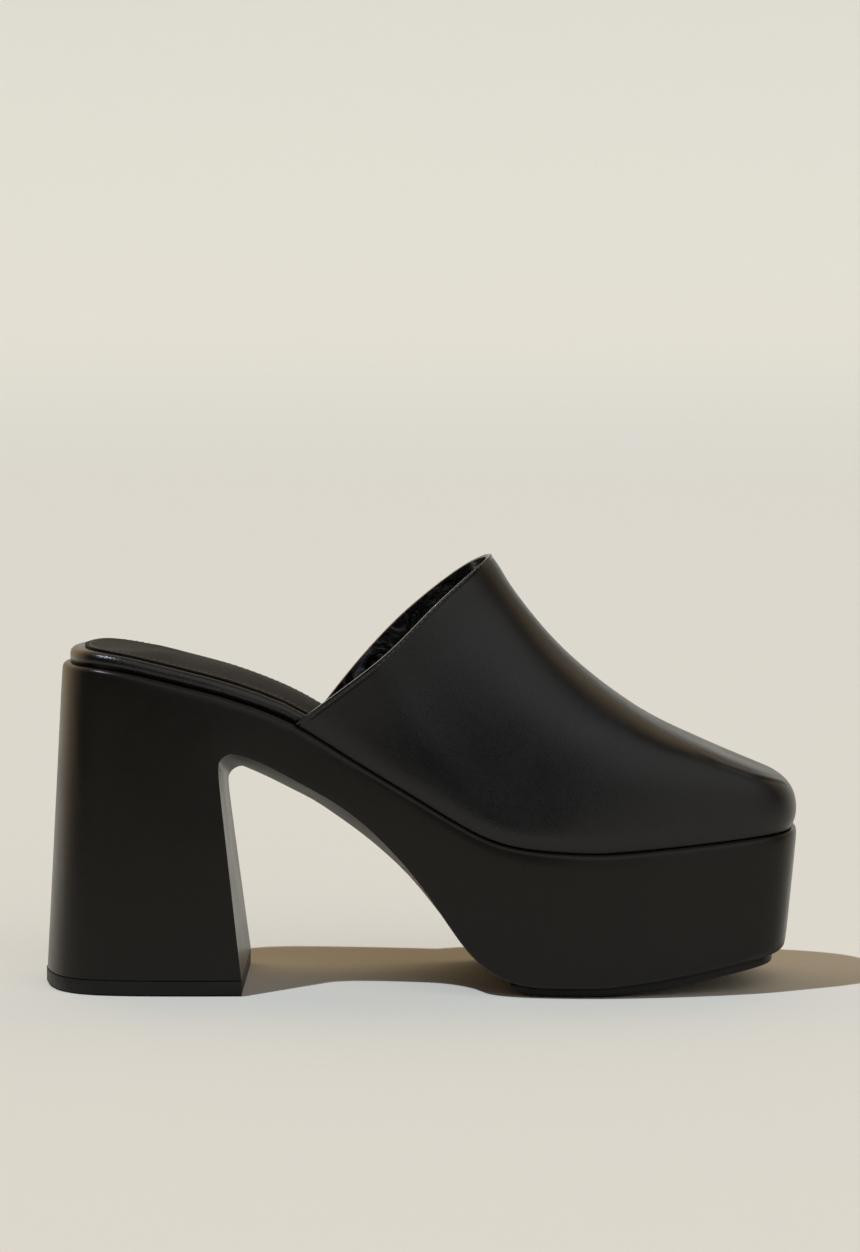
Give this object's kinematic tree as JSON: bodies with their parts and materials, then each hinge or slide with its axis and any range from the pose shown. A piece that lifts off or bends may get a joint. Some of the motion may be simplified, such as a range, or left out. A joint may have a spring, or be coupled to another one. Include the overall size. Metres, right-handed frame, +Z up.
{
  "type": "platform mule",
  "caption": "Closed-toe slip-on platform mule with a slanting open collar, padded insole, thick platform and tall block heel, left foot",
  "frame": {"origin": "on the floor, under the middle of the shoe's bounding box", "axes": "+X from heel to toe, +Z up, +Y towards the outer (lateral) side of the left shoe"},
  "size_m": [0.2394, 0.086, 0.137],
  "materials": {
    "upper_leather": "smooth satin black leather look with a fine grain",
    "unit_cover": "matte warm black moulded unit",
    "board_wrap": "glossy grained black wrap",
    "sock_leather": "soft brownish-black lining leather over foam",
    "sole_rubber": "matte black rubber"
  },
  "bodies": {
    "root": {"upper": "upper_leather", "platform_heel_unit": "unit_cover", "insole_board": "board_wrap", "padded_sock": "sock_leather", "outsole": "sole_rubber", "heel_top_piece": "sole_rubber"}
  },
  "joints": []
}
